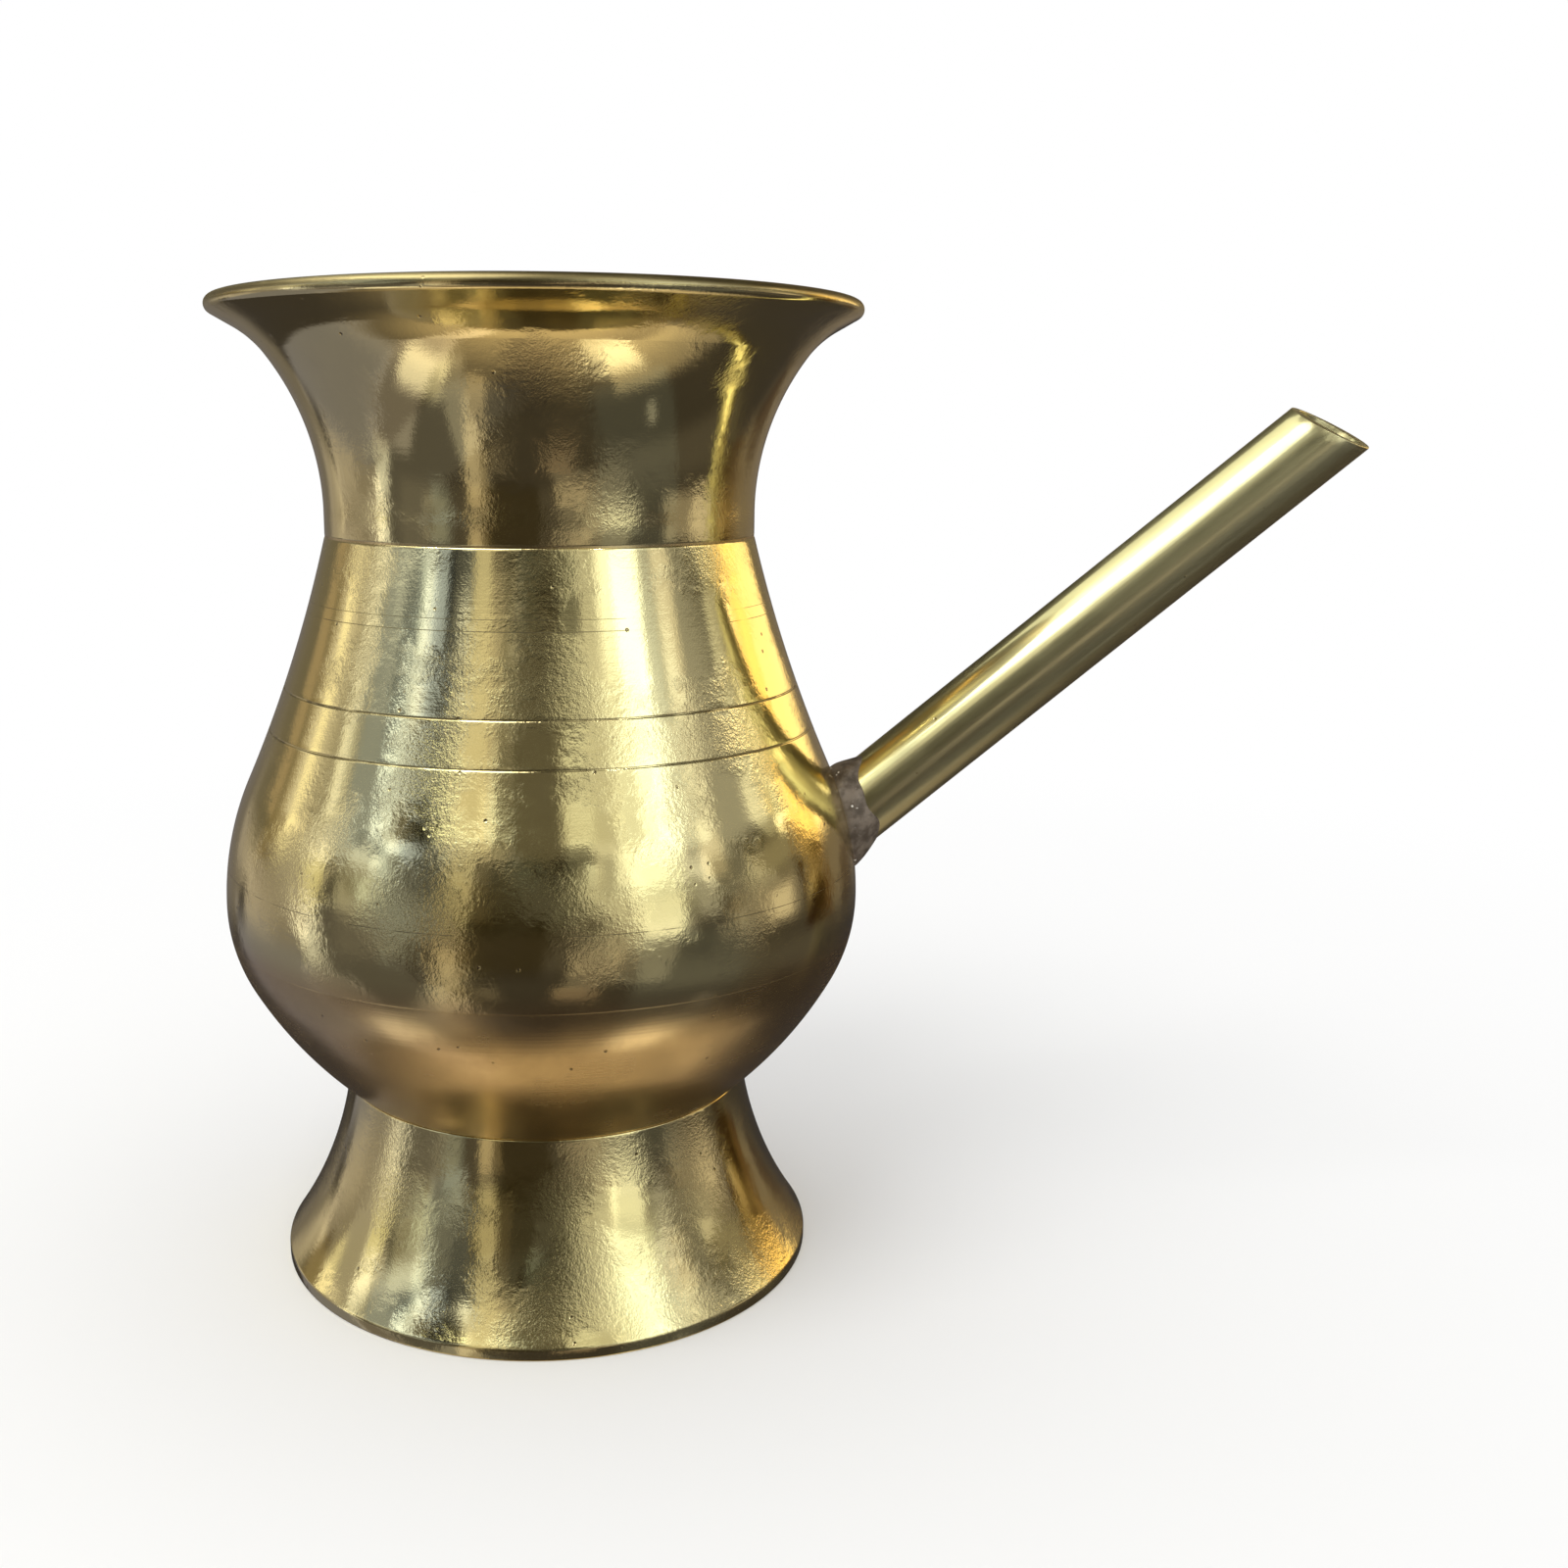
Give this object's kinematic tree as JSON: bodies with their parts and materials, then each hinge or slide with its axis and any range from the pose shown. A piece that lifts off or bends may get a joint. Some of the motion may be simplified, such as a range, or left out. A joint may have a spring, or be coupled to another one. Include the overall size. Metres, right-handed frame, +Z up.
{
  "type": "abhishekam vessel",
  "caption": "Small pear-bodied brass pouring vessel with a flared neck, a hollow flared foot and a straight tube spout that slopes up from the belly.",
  "frame": {"origin": "middle of the foot ring's flat face, on the vessel's turning axis", "axes": "+Z up along the turning axis, +X the way the spout points, +Y to complete a right-handed set"},
  "size_m": [0.1451, 0.0818, 0.1229],
  "materials": {
    "polished_brass": "polished",
    "satin_brass": "satin",
    "drawn_brass": "drawn, lightly polished",
    "brazing_metal": "as run, dull"
  },
  "bodies": {
    "root": {"neck_rim": "polished_brass", "upper_body": "polished_brass", "lower_bowl": "satin_brass", "foot": "polished_brass", "spout_tube": "drawn_brass", "spout_braze": "brazing_metal", "neck_braze": "brazing_metal", "belly_braze": "brazing_metal", "foot_braze": "brazing_metal"}
  },
  "joints": []
}
